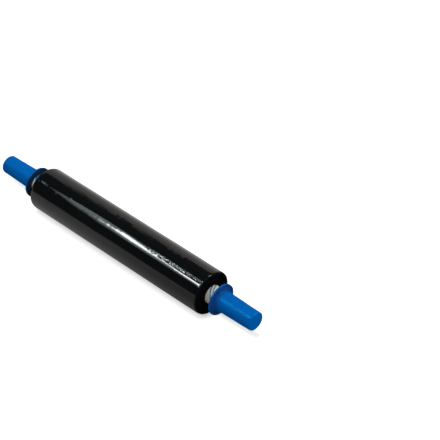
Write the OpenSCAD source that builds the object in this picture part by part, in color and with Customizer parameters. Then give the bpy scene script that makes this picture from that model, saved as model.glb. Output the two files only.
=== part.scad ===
// Roll of hand stretch film. Black film is wound on a paper core that stands out at both ends,
// and a flanged hand grip turns in each end of the core. The roll lies along X, on a small flat
// in its lowest turns, and the origin is at the middle of that flat.

/* [Film] */
// Width of the film, which is the length of the wound body
film_w = 508; // [300:1:760]
// Outside diameter of the wound film
film_od = 97.5; // [84:0.5:140]
// Rounding of the wound body's outer corner at the right end
film_edge_r = 6; // [1:0.5:8]
// Rounding of its outer corner at the left end, where the last turns have slipped inwards
left_edge_r = 11; // [1:0.5:12]
// Rings of turns that can be told apart on each end of the wound body
ring_count = 12; // [4:1:20]
// Most that a ring of turns stands back from the outermost one
ring_step = 0.9; // [0.2:0.1:1.5]
// Width of the flat that the soft turns take where they lie
rest_w = 13; // [10:0.5:20]

/* [Loose end of the film] */
// Height of the loose end above the turn under it
tail_h = 0.4; // [0.2:0.05:0.8]
// Angle of the loose end below the horizontal, on the +Y side
tail_angle = 30; // [15:1:38]
// Angle over which the last turn sinks back into the roll
tail_span = 40; // [20:1:44]

/* [Core] */
// Inside diameter of the paper core
core_id = 38.1; // [30:0.1:44]
// Wall of the paper core
core_wall = 1.5; // [1:0.1:4]
// Length of core that shows past each end of the film
core_overhang = 21.7; // [8:0.1:50]

/* [Flange of the handle] */
// Diameter of the flange
flange_od = 70.5; // [60:0.5:80]
// Thickness of the flange
flange_t = 4.6; // [3.2:0.1:8]
// Rounding of the flange's rim
rim_r = 1.5; // [0.5:0.1:1.5]
// Depth of the hollow turned in the flange's outer face, inside the rim
flange_dish = 1.2; // [0.2:0.1:1.5]

/* [Grip of the handle] */
// Diameter of the grip where it leaves the flange
grip_od = 45; // [38:0.5:50]
// Diameter of the grip at its outer end
grip_end_od = 41.5; // [34:0.5:48]
// Length of the grip past the flange
grip_len = 94.5; // [60:0.5:140]
// Rounding between the grip and the flange
grip_fillet_r = 4; // [1:0.5:5]
// Rounding of the grip's closed end
grip_edge_r = 3; // [0.5:0.1:4]
// Wall of the hollow moulding
handle_wall = 2.6; // [1.5:0.1:4]

/* [Spindle of the handle] */
// Length of the spindle inside the core
spindle_len = 60; // [30:0.5:120]
// Length of the lead-in at the spindle's tip
lead_in = 4; // [1:0.5:8]
// Clearance all round between the spindle and the core
spindle_clear = 0.3; // [0.1:0.05:0.6]
// Gap between the flange and the end of the core
flange_gap = 0.3; // [0.1:0.05:1]

/* [Hidden] */
$fn = 96;

// Radii, and the height of the roll's axis over the flat
film_r = film_od / 2;
core_r = core_id / 2 + core_wall;
flange_r = flange_od / 2;
grip_r = grip_od / 2;
grip_end_r = grip_end_od / 2;
spindle_r = core_id / 2 - spindle_clear;
axis_z = sqrt(film_r * film_r - rest_w * rest_w / 4);

// Places along the roll
film_end = film_w / 2;
core_end = film_end + core_overhang;
flange_x = core_end + flange_gap;

// Steps in the turn from one ring to the next, one for each end, so that no two look alike
LEFT_TURN = 137.5;
RIGHT_TURN = 98;
// Turn and share that make the rings' widths uneven
WIDTH_TURN = 71;
WIDTH_SWING = 0.3;
// The last turn's wedge: steps of its curve, how far it sinks and how deep its root lies
TAIL_STEPS = 20;
TAIL_SINK = 0.05;
TAIL_ROOT = 1.5;
// Steps of a quarter round, and of the hollow in the flange's face
ARC_STEPS = 8;
DISH_STEPS = 10;
// How far a cutting block reaches past what it cuts
OVER = 5;

FILM_BLACK = [0.05, 0.055, 0.06];
CORE_CREAM = [0.88, 0.85, 0.78];
HANDLE_BLUE = [0, 0.33, 0.65];

// Points of an arc about [x, y], from angle a0 to a1
function arc(x, y, r, a0, a1) =
    [for (i = [0:ARC_STEPS]) let (a = a0 + (a1 - a0) * i / ARC_STEPS) [x + r * cos(a), y + r * sin(a)]];

function polar(r, a) = [r * cos(a), r * sin(a)];

// Inner radius of ring i of the turns; ring 0 starts at the core, and the last ends at the corner
function ring_radius(i, edge_r) =
    let (swing = i == 0 || i == ring_count ? 0 : WIDTH_SWING * sin(WIDTH_TURN * i))
    core_r + (film_r - edge_r - core_r) * (i + swing) / ring_count;

// How far ring i stands back; the outermost ring stands back by nothing
function ring_back(i, turn) = ring_step * (1 - cos(turn * (ring_count - 1 - i))) / 2;

// One end of the wound body, as [radius, distance from the middle], from the core outwards
function end_points(turn, edge_r) = [
    for (i = [0:ring_count - 1], side = [0, 1])
        [ring_radius(i + side, edge_r), film_end - ring_back(i, turn)]
];

// Lays a revolved form along X, on the roll's axis
module on_axis() {
    translate([0, 0, axis_z]) rotate([0, 90, 0]) children();
}

// The turns of film, with rings at both ends and rounded outer corners
module wound_turns() {
    left = [for (p = end_points(LEFT_TURN, left_edge_r)) [p.x, -p.y]];
    right = end_points(RIGHT_TURN, film_edge_r);
    last = len(right) - 1;
    on_axis()
        rotate_extrude()
            polygon(concat(
                left,
                arc(film_r - left_edge_r, left_edge_r - film_end, left_edge_r, -90, 0),
                arc(film_r - film_edge_r, film_end - film_edge_r, film_edge_r, 0, 90),
                [for (i = [last:-1:0]) right[i]]
            ));
}

// The last turn near its loose end: a thin wedge that stands up at the end and sinks into the roll
module loose_end() {
    outer = [
        for (i = [0:TAIL_STEPS]) let (s = i / TAIL_STEPS)
            polar(film_r + tail_h * (1 - s) - TAIL_SINK * s, -tail_angle - tail_span * s)
    ];
    inner = [
        for (i = [TAIL_STEPS:-1:0])
            polar(film_r - TAIL_ROOT, -tail_angle - tail_span * i / TAIL_STEPS)
    ];
    translate([left_edge_r - film_end, 0, axis_z])
        rotate([90, 0, 90])
            linear_extrude(film_w - left_edge_r - film_edge_r)
                polygon(concat(outer, inner));
}

module film_roll() {
    color(FILM_BLACK)
        difference() {
            union() {
                wound_turns();
                loose_end();
            }
            translate([-film_end - OVER, -rest_w, -OVER]) cube([film_w + 2 * OVER, 2 * rest_w, OVER]);
        }
}

module core() {
    color(CORE_CREAM)
        on_axis()
            difference() {
                cylinder(h = 2 * core_end, r = core_r, center = true);
                cylinder(h = 2 * (core_end + OVER), d = core_id, center = true);
            }
}

// Section of the handle as [radius, distance out from the flange's inner face]
function handle_points() =
    let (
        end_x = flange_t + grip_len,
        rim_x = flange_t - rim_r,
        rim_in = flange_r - rim_r,
        dish_in = grip_r + grip_fillet_r,
        tip_drop = handle_wall / 2
    )
    concat(
        // Spindle, from the open tip to the flange
        [
            [spindle_r - handle_wall, -spindle_len],
            [spindle_r - tip_drop, -spindle_len],
            [spindle_r, lead_in - spindle_len],
            [spindle_r, 0]
        ],
        // Rounded rim of the flange
        arc(rim_in, rim_r, rim_r, -90, 0),
        arc(rim_in, rim_x, rim_r, 0, 90),
        // Hollow in the flange's outer face
        [
            for (i = [1:DISH_STEPS - 1]) let (s = i / DISH_STEPS)
                [rim_in + (dish_in - rim_in) * s, flange_t - flange_dish * (1 - cos(360 * s)) / 2]
        ],
        // Fillet, tapered grip and its closed end
        arc(dish_in, flange_t + grip_fillet_r, grip_fillet_r, 270, 180),
        arc(grip_end_r - grip_edge_r, end_x - grip_edge_r, grip_edge_r, 0, 90),
        [[0, end_x]],
        // The hollow inside, back to the open tip
        [
            [0, end_x - handle_wall],
            [grip_end_r - handle_wall, end_x - handle_wall],
            [grip_r - handle_wall, flange_t],
            [spindle_r - handle_wall, 0]
        ]
    );

module handle() {
    color(HANDLE_BLUE)
        on_axis()
            translate([0, 0, flange_x])
                rotate_extrude()
                    polygon(handle_points());
}

module left_handle() { mirror([1, 0, 0]) handle(); }

module right_handle() { handle(); }

film_roll();
core();
left_handle();
right_handle();
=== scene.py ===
"""Looks of a roll of black hand stretch film, with a blue grip turning in each end of its paper core.

Every length is in metres unless its name says otherwise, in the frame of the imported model: X runs along
the roll, Z is up, and the roll lies on the floor at z = 0. Angles round the roll are measured from the
top, and grow towards -Y, the side that the camera sees.
"""
import math

import bpy
import numpy as np
from mathutils import Matrix, Vector


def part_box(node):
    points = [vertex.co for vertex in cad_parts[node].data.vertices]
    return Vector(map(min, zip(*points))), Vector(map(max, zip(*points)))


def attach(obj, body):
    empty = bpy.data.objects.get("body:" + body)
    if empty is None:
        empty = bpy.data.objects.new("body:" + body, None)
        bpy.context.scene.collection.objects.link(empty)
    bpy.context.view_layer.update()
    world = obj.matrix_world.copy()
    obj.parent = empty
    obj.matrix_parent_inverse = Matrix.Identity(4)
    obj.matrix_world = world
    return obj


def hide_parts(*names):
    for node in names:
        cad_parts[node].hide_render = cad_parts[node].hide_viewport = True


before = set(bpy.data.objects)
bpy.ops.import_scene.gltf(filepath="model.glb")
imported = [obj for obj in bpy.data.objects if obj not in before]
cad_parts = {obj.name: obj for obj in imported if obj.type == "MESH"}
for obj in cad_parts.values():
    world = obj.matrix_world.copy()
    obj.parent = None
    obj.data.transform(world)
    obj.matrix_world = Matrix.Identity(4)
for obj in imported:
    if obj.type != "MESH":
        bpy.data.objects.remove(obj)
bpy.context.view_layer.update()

MM = 0.001
WHITE = (1, 1, 1, 1)

# Sizes taken from the frame
FILM_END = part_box("film_roll")[1][0]
CORE_LOW, CORE_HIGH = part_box("core")
GRIP_LOW, GRIP_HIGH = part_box("right_handle")
AXIS_Z = (CORE_LOW[2] + CORE_HIGH[2]) / 2
CORE_END = CORE_HIGH[0]
CORE_R = (CORE_HIGH[2] - CORE_LOW[2]) / 2
HANDLE_END = GRIP_HIGH[0]
SPINDLE_TIP = GRIP_LOW[0]
FLANGE_R = (GRIP_HIGH[2] - GRIP_LOW[2]) / 2

# Sizes that the boxes don't give
FILM_R = 48.75 * MM
CORE_WALL = 1.5 * MM
FLANGE_GAP = 0.3 * MM
FLANGE_T = 4.6 * MM
RIM_R = 1.5 * MM
DISH = 1.2 * MM
GRIP_R = 22.5 * MM
GRIP_END_R = 20.75 * MM
GRIP_FILLET = 4 * MM
GRIP_EDGE = 3 * MM
SPINDLE_R = 18.75 * MM
HANDLE_WALL = 2.6 * MM
LEAD_IN = 4 * MM
# Place of the flange's inner face
FLANGE_X = CORE_END + FLANGE_GAP


# Camera at the photograph's viewing angle
AZIMUTH = math.radians(44.005)
ELEVATION = math.radians(38.846)
DISTANCE = 3.58723
LENS_MM = 139.595
SENSOR_MM = 36
SIDEWAYS = 0.19840
UPWARDS = 0.03891
VIEW_DEPTH = 50


def add_camera():
    back = Vector((
        math.sin(AZIMUTH) * math.cos(ELEVATION),
        -math.cos(AZIMUTH) * math.cos(ELEVATION),
        math.sin(ELEVATION),
    ))
    right = Vector((math.cos(AZIMUTH), math.sin(AZIMUTH), 0))
    up = back.cross(right)
    data = bpy.data.cameras.new("camera")
    data.lens = LENS_MM
    data.sensor_width = SENSOR_MM
    data.clip_end = VIEW_DEPTH
    camera = bpy.data.objects.new("camera", data)
    bpy.context.collection.objects.link(camera)
    turn = Matrix((right, up, back)).transposed().to_4x4()
    place = Vector((0, 0, AXIS_Z)) + back * DISTANCE + right * SIDEWAYS + up * UPWARDS
    camera.matrix_world = Matrix.Translation(place) @ turn
    bpy.context.scene.camera = camera


# Node helpers
class Nodes:
    """A material's or world's node tree, with short calls to add and join nodes."""

    # The Mix node's two inputs and its output for each kind of data, by number because their names repeat
    MIX_SOCKETS = {"FLOAT": (2, 3, 0), "VECTOR": (4, 5, 1), "RGBA": (6, 7, 2)}

    def __init__(self, owner):
        owner.use_nodes = True
        self.tree = owner.node_tree
        self.tree.nodes.clear()

    def add(self, kind, inputs=None, **settings):
        node = self.tree.nodes.new("ShaderNode" + kind)
        for name, value in settings.items():
            setattr(node, name, value)
        for name, value in (inputs or {}).items():
            if isinstance(value, bpy.types.NodeSocket):
                self.tree.links.new(value, node.inputs[name])
            else:
                node.inputs[name].default_value = value
        return node

    def place(self):
        """Coordinates on the piece, and then their x, y and z."""
        where = self.add("TexCoord").outputs["Object"]
        return where, *self.add("SeparateXYZ", {"Vector": where}).outputs

    def math(self, operation, a, b=0.0):
        return self.add("Math", {0: a, 1: b}, operation=operation).outputs[0]

    def radius(self, y, height):
        """Distance from the roll's axis, where height is measured from the axis too."""
        squares = self.math("ADD", self.math("POWER", y, 2), self.math("POWER", height, 2))
        return self.math("SQRT", squares)

    def angle(self, y, height):
        """Angle round the roll's axis, from the top towards -Y."""
        return self.math("ARCTAN2", self.math("MULTIPLY", y, -1), height)

    def noise(self, where, scale, detail, rough=0.5, distortion=0.0):
        """Noise of one scale, or of one scale for each axis."""
        if isinstance(scale, tuple):
            where = self.add("Mapping", {"Vector": where, "Scale": scale}).outputs["Vector"]
            scale = 1.0
        inputs = {
            "Vector": where, "Scale": scale, "Detail": detail, "Roughness": rough, "Distortion": distortion,
        }
        return self.add("TexNoise", inputs).outputs["Fac"]

    def ramp(self, value, low, high, out_low=0.0, out_high=1.0):
        """A value taken smoothly from one range to another."""
        inputs = {
            "Value": value, "From Min": low, "From Max": high, "To Min": out_low, "To Max": out_high,
        }
        return self.add("MapRange", inputs, interpolation_type="SMOOTHSTEP").outputs[0]

    def mix(self, factor, a, b, kind="RGBA"):
        first, second, result = self.MIX_SOCKETS[kind]
        node = self.add("Mix", {"Factor": factor, first: a, second: b}, data_type=kind)
        return node.outputs[result]

    def bump(self, height, distance, strength, normal=None):
        inputs = {"Height": height, "Distance": distance, "Strength": strength}
        if normal is not None:
            inputs["Normal"] = normal
        return self.add("Bump", inputs).outputs["Normal"]

    def surface(self, shader, added=None):
        """Shows a shader, or the sum of two, as the material's surface."""
        if added:
            shader = self.add("AddShader", {0: shader.outputs[0], 1: added.outputs[0]})
        self.add("OutputMaterial", {"Surface": shader.outputs[0]})


# Lathe meshes
def around(x, radius, angle):
    """Points at a place along the roll, a radius and an angle from the top towards -Y."""
    return np.stack(np.broadcast_arrays(x, -radius * np.sin(angle), AXIS_Z + radius * np.cos(angle)), -1)


def lathe(name, rows, sharp_angle=35):
    """A closed mesh through rows of points, each a full turn or, where it holds one point, a pole."""
    starts = np.cumsum([0] + [len(row) for row in rows])
    faces = []
    for a in range(len(rows)):
        b = (a + 1) % len(rows)
        count = max(len(rows[a]), len(rows[b]))
        if count == 1:
            continue
        j = np.arange(count)
        k = (j + 1) % count
        first, second = starts[a], starts[b]
        if len(rows[a]) == 1:
            faces += np.stack([np.full(count, first), second + k, second + j], -1).tolist()
        elif len(rows[b]) == 1:
            faces += np.stack([first + j, first + k, np.full(count, second)], -1).tolist()
        else:
            faces += np.stack([first + j, first + k, second + k, second + j], -1).tolist()
    mesh = bpy.data.meshes.new(name)
    mesh.from_pydata(np.concatenate(rows).tolist(), [], faces)
    mesh.shade_smooth()
    mesh.set_sharp_from_angle(angle=math.radians(sharp_angle))
    mesh.validate()
    piece = bpy.data.objects.new(name, mesh)
    bpy.context.collection.objects.link(piece)
    return piece


def arc(x, radius, size, start, stop, steps=8):
    """Profile points [place along the roll, radius] of an arc about (x, radius), in degrees from +X."""
    t = np.radians(np.linspace(start, stop, steps + 1))
    return np.stack([x + size * np.cos(t), radius + size * np.sin(t)], -1)


def full_turn(columns):
    return np.linspace(-math.pi, math.pi, columns, endpoint=False)


def waves(x, angle, seed, count, lengths, turns):
    """Random waves that meet themselves after a full turn, with a spread of about 1.

    There are count waves, between two lengths along the roll and up to turns of them in a full turn.
    """
    rng = np.random.default_rng(seed)
    total = 0
    for _ in range(count):
        k = 2 * math.pi / rng.uniform(*lengths)
        m = rng.integers(-turns, turns + 1)
        total = total + np.cos(k * x + m * angle + rng.uniform(0, 2 * math.pi))
    return total / math.sqrt(count / 2)


def smooth_step(value, low, high):
    t = np.clip((value - low) / (high - low), 0, 1)
    return t * t * (3 - 2 * t)


# Wound film
FILM_COLUMNS = 152
FILM_ROWS = 420
FILM_SHARP_ANGLE = 60
RIGHT_CORNER = 6 * MM
LEFT_CORNER = 11 * MM
# Parts of the film's section
END, SIDE, BORE = range(3)

# Heights in mm of the waves where the film lies tight, and what they gain where it is loose
SLOW_HEIGHT = (0.03, 0.05)
BAND_HEIGHT = (0.004, 0.010)
SLOW_WAVES = {"seed": 3, "count": 14, "lengths": (0.08, 0.22), "turns": 3}
BAND_WAVES = {"seed": 5, "count": 16, "lengths": (0.012, 0.045), "turns": 1}
LOOSE_SPAN = (-0.20, 0.02)
# Ripples lie in patches of the loose part, and crinkles in patches of the creased one
RIPPLE_HEIGHT = 0.007
RIPPLE_WAVES = {"seed": 11, "count": 44, "lengths": (0.0055, 0.012), "turns": 7}
RIPPLE_PATCHES = {"seed": 8, "count": 10, "lengths": (0.05, 0.16), "turns": 4}
RIPPLE_SHARE = (-0.8, 1.6)
CRINKLE_HEIGHT = 0.010
CRINKLE_WAVES = {"seed": 17, "count": 60, "lengths": (0.010, 0.04), "turns": 40}
CRINKLE_PATCHES = {"seed": 14, "count": 8, "lengths": (0.03, 0.09), "turns": 5}
CRINKLE_SHARE = (-0.9, 0.8)
# Where the last turns are creased: along the roll in the mesh and in the material, and between which
# angles, with their soft edges
CREASED_MESH = (0.09, 0.15)
CREASED_LOOK = (0.085, 0.14)
CREASED_ANGLES = [math.radians(a) for a in (24, 27, 31, 34)]
# A turn that lies tight makes a shallow groove round the far end
GROOVE_X = -0.2153
GROOVE_HEIGHT = -0.03
GROOVE_WIDTH = 1.6 * MM

# Blisters, with the ranges of their size and height in mm
BUBBLES = 46
BUBBLE_SEED = 29
BUBBLE_SIZE = (1.6, 3.2)
BUBBLE_HEIGHT = (0.05, 0.16)
BUBBLE_STRETCH = 0.6
# Puckers start this far before each end and are full just before it
PUCKER_RIGHT = 12 * MM
PUCKER_LEFT = 17 * MM
PUCKER_FULL = 1 * MM
PUCKER_HEIGHT = 0.16
PUCKER_WAVES = {"seed": 23, "count": 40, "lengths": (0.02, 0.08), "turns": 26}

# The film's loose end, which wanders along the roll, and the columns beside it
TAIL_HEIGHT = 0.4 * MM
TAIL_LIP = 0.4 * MM
TAIL_ANGLE = math.radians(-120)
TAIL_SPAN = math.radians(40)
TAIL_WANDER = 2.5 * MM
TAIL_WAVES = {"seed": 31, "count": 6, "lengths": (0.12, 0.4), "turns": 1}
TAIL_COLUMNS_MM = np.array([-4, -2, -1, -0.5, 0, 0.5, 1, 2, 4])
TAIL_CLEAR = 0.5 * MM

# Rings of turns on the ends, with the turn in degrees from one to the next
RINGS = 22
RING_DEPTH = 0.8 * MM
LEFT_TURN = 137.5
RIGHT_TURN = 98
# Section of a ring, as shares of its width and how much further back each point is in mm
RING_SHAPE = ((0.04, 0.12), (0.25, 0), (0.75, 0), (0.96, 0.12))
RING_ROUGHNESS = 0.15 * MM
RING_WAVES = {"seed": 37, "count": 12, "lengths": (0.002, 0.01), "turns": 3}


def film_height(x, angle):
    """How far the film stands off a true cylinder; it lies smooth at the far end, and less so nearer."""
    loose = smooth_step(x, *LOOSE_SPAN)
    slow = (SLOW_HEIGHT[0] + SLOW_HEIGHT[1] * loose) * waves(x, angle, **SLOW_WAVES)
    bands = (BAND_HEIGHT[0] + BAND_HEIGHT[1] * loose) * waves(x, 0 * angle, **BAND_WAVES)
    patches = smooth_step(waves(x, angle, **RIPPLE_PATCHES), *RIPPLE_SHARE)
    ripple = RIPPLE_HEIGHT * loose * patches * waves(x, angle, **RIPPLE_WAVES)
    start, full, fade, stop = CREASED_ANGLES
    creased = smooth_step(x, *CREASED_MESH) * smooth_step(waves(x, angle, **CRINKLE_PATCHES), *CRINKLE_SHARE)
    creased = creased * smooth_step(angle, start, full) * smooth_step(angle, stop, fade)
    crinkle = CRINKLE_HEIGHT * creased * waves(x, angle, **CRINKLE_WAVES)
    groove = GROOVE_HEIGHT * np.exp(-((x - GROOVE_X) / GROOVE_WIDTH) ** 2)
    return MM * (slow + bands + ripple + crinkle + groove)


def bubbles(x, angle):
    """Small blisters where air is caught under the last turns."""
    rng = np.random.default_rng(BUBBLE_SEED)
    total = 0
    for _ in range(BUBBLES):
        at_x = rng.uniform(-FILM_END, FILM_END)
        at_angle = rng.uniform(-math.pi, math.pi)
        size = rng.uniform(*BUBBLE_SIZE) * MM
        height = rng.uniform(*BUBBLE_HEIGHT) * MM
        off = np.angle(np.exp(1j * (angle - at_angle))) * FILM_R
        total = total + height * np.exp(-((x - at_x) ** 2 + (BUBBLE_STRETCH * off) ** 2) / size ** 2)
    return total


def shoulder_puckers(x, angle):
    """Soft puckers in the last few millimetres before each end."""
    start = np.where(x > 0, FILM_END - PUCKER_RIGHT, FILM_END - PUCKER_LEFT)
    near_end = smooth_step(np.abs(x), start, FILM_END - PUCKER_FULL)
    return MM * near_end * PUCKER_HEIGHT * waves(x, angle, **PUCKER_WAVES)


def tail_step(x, angle):
    """The film's loose end: the last turn stands up at its edge and sinks back into the roll."""
    edge = TAIL_ANGLE + TAIL_WANDER / FILM_R * waves(x, 0 * angle, **TAIL_WAVES) / 2
    past = edge - angle
    lip = smooth_step(past, 0, TAIL_LIP / FILM_R)
    return TAIL_HEIGHT * lip * (1 - smooth_step(past, 0, TAIL_SPAN))


def film_angles():
    """Angles of the columns, closer together at the loose end."""
    even = full_turn(FILM_COLUMNS)
    close = TAIL_ANGLE + TAIL_COLUMNS_MM * MM / FILM_R
    spare = np.abs(even[:, None] - close[None, :]).min(1) > TAIL_CLEAR / FILM_R
    return np.sort(np.concatenate([even[spare], close]))


def end_profile(turn, corner):
    """The rings of turns on one end, from the core out to the corner, as [how far back, radius]."""
    points = []
    reach = FILM_R - corner - CORE_R
    for i in range(RINGS):
        inner = CORE_R + reach * i / RINGS
        outer = CORE_R + reach * (i + 1) / RINGS
        back = RING_DEPTH * (1 - math.cos(math.radians(turn * (RINGS - 1 - i)))) / 2
        for share, extra in RING_SHAPE:
            points.append((back + extra * MM, inner + (outer - inner) * share))
    points[-1] = (0, outer)
    return points


def film_profile():
    """Section of the wound film as [place along the roll, radius, part], from the core at the left end."""
    left_x = LEFT_CORNER - FILM_END
    right_x = FILM_END - RIGHT_CORNER
    left = end_profile(LEFT_TURN, LEFT_CORNER)
    right = end_profile(RIGHT_TURN, RIGHT_CORNER)
    side = [
        *arc(left_x, FILM_R - LEFT_CORNER, LEFT_CORNER, 180, 90, 12)[1:-1],
        *((x, FILM_R) for x in np.linspace(left_x, right_x, FILM_ROWS)),
        *arc(right_x, FILM_R - RIGHT_CORNER, RIGHT_CORNER, 90, 0)[1:-1],
    ]
    return [
        *((back - FILM_END, radius, END) for back, radius in left),
        *((x, radius, SIDE) for x, radius in side),
        *((FILM_END - back, radius, END) for back, radius in right[::-1]),
        (FILM_END - RING_DEPTH, CORE_R, BORE),
        (RING_DEPTH - FILM_END, CORE_R, BORE),
    ]


def build_film():
    angle = film_angles()
    rows = []
    for x, radius, part in film_profile():
        if part == SIDE:
            radius = radius + film_height(x, angle) + bubbles(x, angle)
            radius = radius + shoulder_puckers(x, angle) + tail_step(x, angle)
        elif part == END:
            depth = RING_ROUGHNESS * waves(radius, angle, **RING_WAVES)
            x = x - math.copysign(1, x) * np.abs(depth)
        row = around(x, radius, angle)
        # The soft turns lie flat on the floor
        row[:, 2] = np.maximum(row[:, 2], 0)
        rows.append(row)
    return lathe("wound_film", rows, FILM_SHARP_ANGLE)


# Colours of the film, on its round side and on the cut ends of the turns, where the lighter end tone is a
# painted sheen
FILM_TONES = ((0.0016, 0.0018, 0.0019, 1), (0.0030, 0.0031, 0.0031, 1))
END_TONES_AND_SHEEN = ((0.0030, 0.0032, 0.0036, 1), (0.0064, 0.0066, 0.0074, 1))
# Roughness of the round side, the share of it left where it is creased and at the far end, and that
# of the cut ends
FILM_ROUGHNESS = (0.035, 0.085)
CREASED_SHARE = 0.6
FAR_SHARE = 0.4
FAR_SPAN = (-0.20, -0.15)
END_ROUGHNESS = 0.6
FILM_SPECULAR = 0.25
# Pitch of the lines that the cut turns draw on the ends
TURN_PITCH = 0.55 * MM
# Gap of air under the creased turns, in nanometres
GAP_NM = 900.0
GAP_IOR = 1.75


def film_material():
    material = bpy.data.materials.new("black_film")
    nodes = Nodes(material)
    where, x, y, z = nodes.place()
    height = nodes.math("SUBTRACT", z, AXIS_Z)
    radius = nodes.radius(y, height)
    # 1 on the ends, where the cut edges of the turns show, and 0 on the round surface
    on_end = nodes.ramp(radius, FILM_R - 0.3 * MM, FILM_R - 1.2 * MM)
    # 1 towards the near end, where the last turns are creased on the side that the camera sees
    angle = nodes.angle(y, height)
    start, full, fade, stop = CREASED_ANGLES
    facing = nodes.math("MULTIPLY", nodes.ramp(angle, start, full), nodes.ramp(angle, stop, fade))
    facing = nodes.math("MULTIPLY", facing, nodes.ramp(on_end, 0.5, 0.0))
    creased = nodes.math("MULTIPLY", nodes.ramp(x, *CREASED_LOOK), facing)

    haze = nodes.noise(where, (9, 22, 22), 4)
    smear = nodes.noise(where, (120, 9, 9), 3)
    rough = nodes.ramp(nodes.math("MULTIPLY", haze, smear), 0.12, 0.42, *FILM_ROUGHNESS)
    rough = nodes.math("MULTIPLY", rough, nodes.ramp(creased, 0, 1, 1, CREASED_SHARE))
    rough = nodes.math("MULTIPLY", rough, nodes.ramp(x, *FAR_SPAN, FAR_SHARE, 1))

    turn_lines = nodes.math("SINE", nodes.math("MULTIPLY", radius, 2 * math.pi / TURN_PITCH))
    film_tone = nodes.mix(haze, *FILM_TONES)
    # The lines of the cut turns are painted lighter, as a painted sheen on their edges
    end_tone_and_sheen = nodes.mix(nodes.ramp(turn_lines, -1, 1), *END_TONES_AND_SHEEN)

    fine = nodes.noise(where, (520, 26, 26), 2)
    line_bump = nodes.bump(fine, 0.02 * MM, 0.10)
    crumple = nodes.noise(where, (190, 420, 420), 2, distortion=0.6)
    folds = nodes.math("MULTIPLY", nodes.ramp(crumple, 0.45, 0.62), creased)
    film_normal = nodes.bump(folds, 0.09 * MM, 0.6, line_bump)
    end_normal = nodes.bump(turn_lines, 0.12 * MM, 0.4)

    # Air under the creased turns makes a thin gap that colours its glints
    gap = nodes.noise(where, (330, 420, 420), 2)
    gap = nodes.math("MULTIPLY", creased, nodes.ramp(gap, 0.50, 0.70, 0.0, GAP_NM))

    shader = nodes.add("BsdfPrincipled", {
        "Base Color": nodes.mix(on_end, film_tone, end_tone_and_sheen),
        "Roughness": nodes.mix(on_end, rough, END_ROUGHNESS, "FLOAT"),
        "Normal": nodes.mix(on_end, film_normal, end_normal, "VECTOR"),
        "Specular IOR Level": nodes.mix(on_end, FILM_SPECULAR, 0.0, "FLOAT"),
        "Thin Film Thickness": gap,
        "Thin Film IOR": GAP_IOR,
    })
    # Where an exported model takes one level for the whole surface, it is the film's
    shader.inputs["Specular IOR Level"].default_value = FILM_SPECULAR
    nodes.surface(shader)
    return material


# Paper core
CORE_COLUMNS = 96
CORE_END_ROWS = 24
CORE_EDGE = 0.25 * MM
# The gap between two plies winds round the core where it shows, and its width is a share of the pitch
PLY_PITCH = 70 * MM
PLY_STEP = 0.10 * MM
PLY_WIDTH = 0.012
# Stripes printed along the plies, as shares of the pitch: the middle and half the width of each
STRIPES = ((0.727, 0.024), (0.620, 0.030), (0.060, 0.055))
STRIPE_EDGE = 0.008
STRIPE_WEAR = 0.02
STRIPE_TEAL = (0.0, 0.20, 0.40, 1)
PAPER_TONES = ((0.52, 0.48, 0.40, 1), (0.80, 0.76, 0.66, 1))
PAPER_STAIN = (0.72, 0.60, 0.38, 1)


def build_core():
    angle = full_turn(CORE_COLUMNS)
    right = np.linspace(FILM_END - 3 * MM, CORE_END - CORE_EDGE, CORE_END_ROWS)
    middle = np.linspace(-FILM_END + 6 * MM, FILM_END - 6 * MM, 3)
    rows = [around(-CORE_END, CORE_R - CORE_EDGE, angle)]
    for x in np.concatenate([-right[::-1], middle, right]):
        shown = abs(x) > FILM_END - 2 * MM
        along = np.mod(x / PLY_PITCH - angle / (2 * math.pi), 1)
        gap = np.exp(-((along - 0.5) / PLY_WIDTH) ** 2)
        rows.append(around(x, CORE_R - PLY_STEP * gap * shown, angle))
    rows += [
        around(CORE_END, CORE_R - CORE_EDGE, angle),
        around(CORE_END, CORE_R - CORE_WALL + CORE_EDGE, angle),
        around(CORE_END - CORE_EDGE, CORE_R - CORE_WALL, angle),
        around(-CORE_END + CORE_EDGE, CORE_R - CORE_WALL, angle),
        around(-CORE_END, CORE_R - CORE_WALL + CORE_EDGE, angle),
    ]
    return lathe("paper_core", rows)


def core_material():
    material = bpy.data.materials.new("core_paper")
    nodes = Nodes(material)
    where, x, y, z = nodes.place()
    angle = nodes.angle(y, nodes.math("SUBTRACT", z, AXIS_Z))
    turns = nodes.math("DIVIDE", angle, 2 * math.pi)
    wound = nodes.math("SUBTRACT", nodes.math("DIVIDE", x, PLY_PITCH), turns)
    share = nodes.math("FRACT", wound)
    fibre = nodes.noise(where, (900, 300, 300), 5, rough=0.7)
    blotch = nodes.noise(where, 60, 3)
    paper = nodes.mix(nodes.ramp(fibre, 0.3, 0.7), *PAPER_TONES)
    paper = nodes.mix(nodes.ramp(blotch, 0.35, 0.75, 0, 0.35), paper, PAPER_STAIN)

    worn = nodes.math("MULTIPLY", nodes.math("SUBTRACT", fibre, 0.5), STRIPE_WEAR)
    printed = 0.0
    for centre, half_width in STRIPES:
        off = nodes.math("ABSOLUTE", nodes.math("SUBTRACT", share, centre))
        stripe = nodes.ramp(nodes.math("ADD", off, worn), half_width, half_width - STRIPE_EDGE)
        printed = nodes.math("MAXIMUM", stripe, printed)
    shader = nodes.add("BsdfPrincipled", {
        "Base Color": nodes.mix(printed, paper, STRIPE_TEAL),
        "Roughness": nodes.ramp(fibre, 0.2, 0.8, 0.7, 0.9),
        "Normal": nodes.bump(fibre, 0.08 * MM, 0.5),
        "Specular IOR Level": 0.35,
    })
    nodes.surface(shader)
    return material


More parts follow.
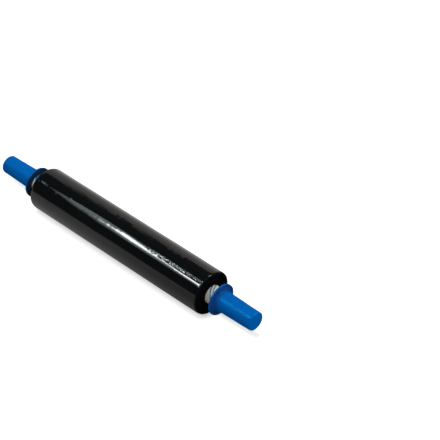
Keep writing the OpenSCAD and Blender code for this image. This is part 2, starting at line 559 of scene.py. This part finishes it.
# Handles
HANDLE_COLUMNS = 144
DISH_STEPS = 12
TAPER_STEPS = 41
DISC_STEPS = 7
PARTING_ANGLE = math.radians(100)
PARTING_HEIGHT = 0.10 * MM
PARTING_WIDTH = 0.7 * MM
GATE_R = 3.2 * MM
GATE_DEPTH = 0.5 * MM
SINK_HEIGHT = 0.05 * MM
SINK_WAVES = {"seed": 41, "count": 8, "lengths": (0.03, 0.09), "turns": 3}


def handle_profile():
    """Section of a handle as [distance out from the flange's inner face, radius], from the spindle's tip."""
    tip = SPINDLE_TIP - FLANGE_X
    end = HANDLE_END - FLANGE_X
    inner_tip = SPINDLE_R - HANDLE_WALL
    rim_in = FLANGE_R - RIM_R
    dish_in = GRIP_R + GRIP_FILLET
    grip_start = FLANGE_T + GRIP_FILLET
    grip_stop = end - GRIP_EDGE
    share = np.linspace(0, 1, DISH_STEPS + 1)[1:-1]
    dish_x = FLANGE_T - DISH * (1 - np.cos(2 * math.pi * share)) / 2
    dish_r = rim_in + (dish_in - rim_in) * share
    taper = np.linspace(0, 1, TAPER_STEPS + 1)[1:-1]
    grip_x = grip_start + (grip_stop - grip_start) * taper
    grip_r = GRIP_R + (GRIP_END_R - GRIP_R) * taper
    disc_r = np.linspace(GRIP_END_R - GRIP_EDGE, GATE_R + 1 * MM, DISC_STEPS + 1)[1:]
    return [
        (tip, inner_tip),
        (tip, SPINDLE_R - HANDLE_WALL / 2),
        (tip + LEAD_IN, SPINDLE_R),
        (0, SPINDLE_R),
        *arc(RIM_R, rim_in, RIM_R, 180, 90),
        *arc(FLANGE_T - RIM_R, rim_in, RIM_R, 90, 0),
        *zip(dish_x, dish_r),
        *arc(grip_start, dish_in, GRIP_FILLET, 180, 270),
        *zip(grip_x, grip_r),
        *arc(grip_stop, GRIP_END_R - GRIP_EDGE, GRIP_EDGE, 90, 0),
        *((end, radius) for radius in disc_r),
        (end, GATE_R),
        (end - GATE_DEPTH, GATE_R - GATE_DEPTH),
        (end - GATE_DEPTH, 0),
        (end - HANDLE_WALL, 0),
        (end - HANDLE_WALL, GRIP_END_R - HANDLE_WALL),
        (FLANGE_T, GRIP_R - HANDLE_WALL),
        (0, inner_tip),
    ]


def build_handle(name, side):
    """One handle; side is 1 at the +X end and -1 at the other."""
    angle = full_turn(HANDLE_COLUMNS)
    off_seam = np.abs(np.angle(np.exp(2j * (angle - PARTING_ANGLE)))) / 2
    rows = []
    for out, radius in handle_profile():
        x = side * (FLANGE_X + out)
        if radius == 0:
            rows.append(around(np.array([x]), 0, np.array([0.0])))
            continue
        # Only the outer surface of flange and grip has them; the hollow and the closed end are narrower
        outside = out > 0 and radius > GRIP_END_R - 0.5 * MM
        on_grip = radius < GRIP_R + 1 * MM
        seam = PARTING_HEIGHT * np.exp(-(off_seam * radius / PARTING_WIDTH) ** 2) * outside
        sink = SINK_HEIGHT * waves(out, angle, **SINK_WAVES) * outside * on_grip
        rows.append(around(x, radius + seam + sink, angle))
    # Turned round so that the faces look outwards at the far end too
    if side < 0:
        rows = [row[::-1] for row in rows]
    return lathe(name, rows)


HANDLE_BLUES = ((0.0004, 0.090, 0.365, 1), (0.0006, 0.102, 0.400, 1))
FLOW_BLUE = (0.0, 0.12, 0.43, 1)
FLANGE_SHADE_BLUE = (0.022, 0.016, 0.090, 1)
INNER_SHADE_BLUE = (0.012, 0.018, 0.027, 1)
DISC_LIGHT_BLUE = (0.0008, 0.150, 0.570, 1)
HANDLE_SHEEN = (0.0007, 0.013, 0.024, 1)
HANDLE_ROUGHNESS = (0.33, 0.38)
# Share of the painted shade on the flange, at its rim and in its hollow
FLANGE_SHADE_SHARE = (0.25, 0.42)
# Share of the painted shade on the flange's inner face, at the bottom and at the top
INNER_SHADE_SHARE = (0.94, 0.72)
DISC_LIGHT_SHARE = 0.85


def handle_material():
    material = bpy.data.materials.new("blue_plastic")
    nodes = Nodes(material)
    where, x, y, z = nodes.place()
    cloud = nodes.noise(where, (18, 40, 40), 3)
    grain = nodes.noise(where, 1400, 2)
    flow = nodes.noise(where, (14, 160, 160), 3)
    along = nodes.math("ABSOLUTE", x)
    height = nodes.math("SUBTRACT", z, AXIS_Z)
    tone = nodes.mix(nodes.ramp(cloud, 0.3, 0.7), *HANDLE_BLUES)
    tone = nodes.mix(nodes.ramp(flow, 0.45, 0.75, 0, 0.6), tone, FLOW_BLUE)
    # The flange is painted darker than the grip as painted shade, most of all in the hollow of its outer
    # face
    outer_face = FLANGE_X + FLANGE_T
    on_flange = nodes.ramp(along, outer_face + 11 * MM, outer_face + 1 * MM)
    radius = nodes.radius(y, height)
    flange_shade = nodes.ramp(radius, FLANGE_R - 1.2 * RIM_R, FLANGE_R - 3 * RIM_R, *FLANGE_SHADE_SHARE)
    tone = nodes.mix(nodes.math("MULTIPLY", on_flange, flange_shade), tone, FLANGE_SHADE_BLUE)
    # Its inner face is painted dark as painted shade, where it faces the film's end, most at the bottom
    on_inner = nodes.ramp(along, FLANGE_X + 1.6 * MM, FLANGE_X + 0.4 * MM)
    inner_shade = nodes.ramp(height, -20 * MM, 32 * MM, *INNER_SHADE_SHARE)
    tone = nodes.mix(nodes.math("MULTIPLY", on_inner, inner_shade), tone, INNER_SHADE_BLUE)
    # The closed end is painted paler as painted light, since the lamps leave that face dim
    disc_light = nodes.ramp(along, HANDLE_END - GRIP_EDGE, HANDLE_END - 0.3 * MM, 0, DISC_LIGHT_SHARE)
    tone = nodes.mix(disc_light, tone, DISC_LIGHT_BLUE)
    roughness = nodes.ramp(flow, 0.2, 0.8, *HANDLE_ROUGHNESS)
    grained = nodes.bump(grain, 0.05 * MM, 0.25)
    body = nodes.add("BsdfPrincipled", {
        "Base Color": tone, "Roughness": roughness, "Normal": grained, "Specular IOR Level": 0.0,
    })
    sheen = nodes.add("BsdfGlossy", {"Color": HANDLE_SHEEN, "Roughness": roughness, "Normal": grained})
    nodes.surface(body, sheen)
    return material


# Floor, reflected surroundings and lamps
FLOOR_DROP = 0.2 * MM
FLOOR_SIZE = 12.0
# Distances from the middle between which the floor goes from lit to dark
FLOOR_EDGE = (1.6, 2.2)
FLOOR_GREY = (0.36, 0.36, 0.36, 1)
FLOOR_COLOUR = (0.97, 1.0, 0.97, 1)
# Painted shade on the floor under the film and the handles: two distances from its middle, and the
# brightness at the first
FILM_SHADE = (0.010, 0.050, 0.42)
GRIP_SHADE = (0.002, 0.018, 0.60)
GRIP_SHADE_Y = 0.012
# Places past the ends of the film and of the handles between which one shade gives way to the next
FILM_SHADE_END = (-0.010, 0.020)
GRIP_SHADE_END = (-0.008, 0.012)
# Strength of the floor in reflections at two places along X
FLOOR_MIRRORED = (-0.32, 0.28, 0.64, 0.18)
WALL_Y = 1.0
# The wall's top falls from left to right, with the jags of what stands on it
WALL_TOP = (
    (3.0, 0.80), (-0.50, 0.92), (-0.79, 0.95), (-0.98, 0.98), (-1.10, 0.94), (-1.34, 1.22), (-1.52, 1.49),
    (-1.78, 1.78), (-4.0, 2.2),
)
# Teeth along the top, all leaning the same way
JAGS = 15
JAG_SEED = 53
JAG_SPAN = (-0.58, -1.66)
JAG_LEAN = (-0.50, 0.86)
JAG_LENGTHS = (0.10, 1.60)
WALL_RADIANCE = 0.85
WALL_COLOUR = (1.0, 0.985, 0.93, 1)
AMBIENT = (0.66, 0.66, 0.66, 1)
DARK_ROOM = (0.080, 0.096, 0.120, 1)
PALE_GROUND = (0.9, 0.9, 0.9, 1)
HORIZON = 0.02
# Lamps that show in reflections; a fade is two places along X and the share of the strength at the first
LAMP_Z = 1.2
SOFTBOX_COLOUR = (0.84, 1.0, 0.98, 1)
SOFTBOX_RADIANCE = 4.9
SOFTBOX_FADE = (-1.25, -0.98, 0.32)
SOFTBOX_CORNERS = (
    (-1.177, -0.58), (-1.205, -0.70), (-1.205, -1.16), (0.3, -1.22), (0.3, -0.77), (-0.71, -0.77),
    (-0.72, -0.29), (-0.86, -0.29), (-0.95, -0.34), (-1.01, -0.41), (-1.09, -0.48), (-1.126, -0.50),
)
# The softbox's bright middle, just under it
BRIGHT_Z = LAMP_Z - 0.02
BRIGHT_COLOUR = (0.96, 1.0, 1.0, 1)
BRIGHT_RADIANCE = 45.0
BRIGHT_FADE = (-1.03, -0.86, 0.05)
BRIGHT_CORNERS = (
    (-1.0, -0.71), (-1.0, -0.79), (-0.95, -0.80), (-0.76, -0.82), (-0.72, -0.95), (-0.38, -0.95),
    (-0.38, -0.76), (-0.73, -0.76), (-0.735, -0.48), (-0.79, -0.41), (-0.88, -0.55), (-0.94, -0.62),
)
STRIP_RADIANCE = 2.2
STRIP_CORNERS = ((-0.71, -0.49), (0.3, -0.46), (0.3, -0.33), (-0.71, -0.31))
# Small lamp past the softbox's tip, seen at the film's far end
SPOT_RADIANCE = 4.0
SPOT_CORNERS = ((-1.258, -0.730), (-1.246, -0.730), (-1.158, -0.430), (-1.170, -0.430))
# Lamp that glints on the rounded corner of the near end
RIM_RADIANCE = 40.0
RIM_CORNERS = (
    (0.45, 0.33), (0.62, 0.40), (0.52, 0.55), (0.43, 0.88), (0.26, 0.82), (0.33, 0.60), (0.38, 0.48),
)
# Lamp that lights the object from above and behind
OVERHEAD_RADIANCE = 2.6
OVERHEAD_Z = 1.5
OVERHEAD_CORNERS = ((-1.1, -0.2), (1.1, -0.2), (1.1, 0.9), (-1.1, 0.9))


def flat_piece(name, points):
    mesh = bpy.data.meshes.new(name)
    mesh.from_pydata(points, [], [list(range(len(points)))])
    piece = bpy.data.objects.new(name, mesh)
    bpy.context.collection.objects.link(piece)
    return piece


def glow_material(name, strength, colour=WHITE, fade=None):
    """A shining surface; fade holds two places along X and the share of the strength at the first."""
    material = bpy.data.materials.new(name)
    nodes = Nodes(material)
    if fade:
        x = nodes.place()[1]
        strength = nodes.ramp(x, fade[0], fade[1], strength * fade[2], strength)
    nodes.surface(nodes.add("Emission", {"Color": colour, "Strength": strength}))
    return material


def only_reflected(piece):
    """Seen in reflections and through clear things, and not by the camera or as light on other surfaces."""
    piece.visible_camera = False
    piece.visible_diffuse = False
    piece.visible_shadow = False
    piece.visible_volume_scatter = False


def add_floor():
    half = FLOOR_SIZE / 2
    floor = flat_piece("floor", [(-half, -half, 0), (half, -half, 0), (half, half, 0), (-half, half, 0)])
    floor.location.z = -FLOOR_DROP
    material = bpy.data.materials.new("white_floor")
    nodes = Nodes(material)
    where, x, y, _ = nodes.place()
    path = nodes.add("LightPath").outputs
    reach = nodes.add("VectorMath", {0: where}, operation="LENGTH").outputs["Value"]
    in_studio = nodes.ramp(reach, FLOOR_EDGE[1], FLOOR_EDGE[0])
    # The floor shines white to the camera, with a painted shade under the film and the handles
    along = nodes.math("ABSOLUTE", x)
    away = nodes.math("ABSOLUTE", y)
    from_grip = nodes.math("ABSOLUTE", nodes.math("SUBTRACT", y, GRIP_SHADE_Y))
    by_film = nodes.ramp(away, *FILM_SHADE, 1.0)
    by_grip = nodes.ramp(from_grip, *GRIP_SHADE, 1.0)
    past_film = nodes.ramp(along, FILM_END + FILM_SHADE_END[0], FILM_END + FILM_SHADE_END[1])
    past_grip = nodes.ramp(along, HANDLE_END + GRIP_SHADE_END[0], HANDLE_END + GRIP_SHADE_END[1])
    shade = nodes.mix(past_film, by_film, by_grip, "FLOAT")
    shade = nodes.mix(past_grip, shade, 1.0, "FLOAT")
    shown = nodes.math("MULTIPLY", path["Is Camera Ray"], shade)
    # It shines in reflections too, with a painted shade close to the roll, where the roll would keep the
    # light off it
    squared = nodes.math("POWER", away, 2)
    open_share = nodes.math("DIVIDE", squared, nodes.math("ADD", squared, FILM_R ** 2))
    reflected = nodes.math("MAXIMUM", path["Is Glossy Ray"], path["Is Transmission Ray"])
    mirrored = nodes.math("MULTIPLY", open_share, nodes.ramp(x, *FLOOR_MIRRORED))
    mirrored = nodes.math("MULTIPLY", mirrored, nodes.math("MULTIPLY", reflected, in_studio))
    shine = nodes.add("Emission", {
        "Color": nodes.mix(path["Is Camera Ray"], FLOOR_COLOUR, WHITE),
        "Strength": nodes.math("ADD", shown, mirrored),
    })
    matt = nodes.add("BsdfDiffuse", {"Color": nodes.mix(in_studio, (0, 0, 0, 1), FLOOR_GREY)})
    nodes.surface(shine, matt)
    floor.data.materials.append(material)


def add_surroundings():
    """A white wall behind the roll with a slanting, jagged top, for reflections."""
    rng = np.random.default_rng(JAG_SEED)
    known_x, known_z = zip(*WALL_TOP[::-1])
    teeth = []
    for x in np.linspace(*JAG_SPAN, JAGS).tolist():
        z = float(np.interp(x, known_x, known_z))
        long = rng.uniform(*JAG_LENGTHS)
        teeth += [(x, z), (x + JAG_LEAN[0] * long, z + JAG_LEAN[1] * long)]
    before = [p for p in WALL_TOP if p[0] > JAG_SPAN[0]]
    after = [p for p in WALL_TOP if p[0] < JAG_SPAN[1]]
    foot = [(known_x[0], 0.0), (known_x[-1], 0.0)]
    wall = flat_piece("white_wall", [(x, WALL_Y, z) for x, z in foot + before + teeth + after])
    wall.data.materials.append(glow_material("white_card", WALL_RADIANCE, WALL_COLOUR))
    only_reflected(wall)


def add_world():
    world = bpy.data.worlds.new("world")
    bpy.context.scene.world = world
    nodes = Nodes(world)
    path = nodes.add("LightPath").outputs
    reflected = nodes.math("MAXIMUM", path["Is Glossy Ray"], path["Is Transmission Ray"])
    direction = nodes.add("TexCoord").outputs["Generated"]
    z = nodes.add("SeparateXYZ", {"Vector": direction}).outputs["Z"]
    mirrored = nodes.mix(nodes.ramp(z, HORIZON, -HORIZON), DARK_ROOM, PALE_GROUND)
    tone = nodes.mix(reflected, AMBIENT, mirrored)
    tone = nodes.mix(path["Is Camera Ray"], tone, WHITE)
    sky = nodes.add("Background", {"Color": tone, "Strength": 1.0})
    nodes.add("OutputWorld", {"Surface": sky.outputs[0]})


def add_lamps():
    shown = (
        ("softbox", LAMP_Z, SOFTBOX_CORNERS, SOFTBOX_RADIANCE, SOFTBOX_COLOUR, SOFTBOX_FADE),
        ("softbox_core", BRIGHT_Z, BRIGHT_CORNERS, BRIGHT_RADIANCE, BRIGHT_COLOUR, BRIGHT_FADE),
        ("softbox_strip", LAMP_Z, STRIP_CORNERS, STRIP_RADIANCE, SOFTBOX_COLOUR, None),
        ("far_spot", LAMP_Z, SPOT_CORNERS, SPOT_RADIANCE, SOFTBOX_COLOUR, None),
        ("rim_lamp", LAMP_Z, RIM_CORNERS, RIM_RADIANCE, WHITE, None),
    )
    for name, height, corners, radiance, colour, fade in shown:
        lamp = flat_piece(name, [(x, y, height) for x, y in corners])
        lamp.data.materials.append(glow_material(name + "_glow", radiance, colour, fade))
        only_reflected(lamp)
    overhead = flat_piece("overhead", [(x, y, OVERHEAD_Z) for x, y in OVERHEAD_CORNERS])
    overhead.data.materials.append(glow_material("overhead_glow", OVERHEAD_RADIANCE))
    overhead.visible_camera = False
    overhead.visible_glossy = False
    overhead.visible_transmission = False


def dress(piece, node, body, material):
    piece.data.materials.append(material)
    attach(piece, body)
    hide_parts(node)


add_camera()
add_floor()
add_surroundings()
add_world()
add_lamps()
dress(build_film(), "film_roll", "roll", film_material())
dress(build_core(), "core", "roll", core_material())
plastic = handle_material()
dress(build_handle("left_grip_moulding", -1), "left_handle", "left_grip", plastic)
dress(build_handle("right_grip_moulding", 1), "right_handle", "right_grip", plastic)

bpy.context.scene.view_settings.view_transform = "Standard"
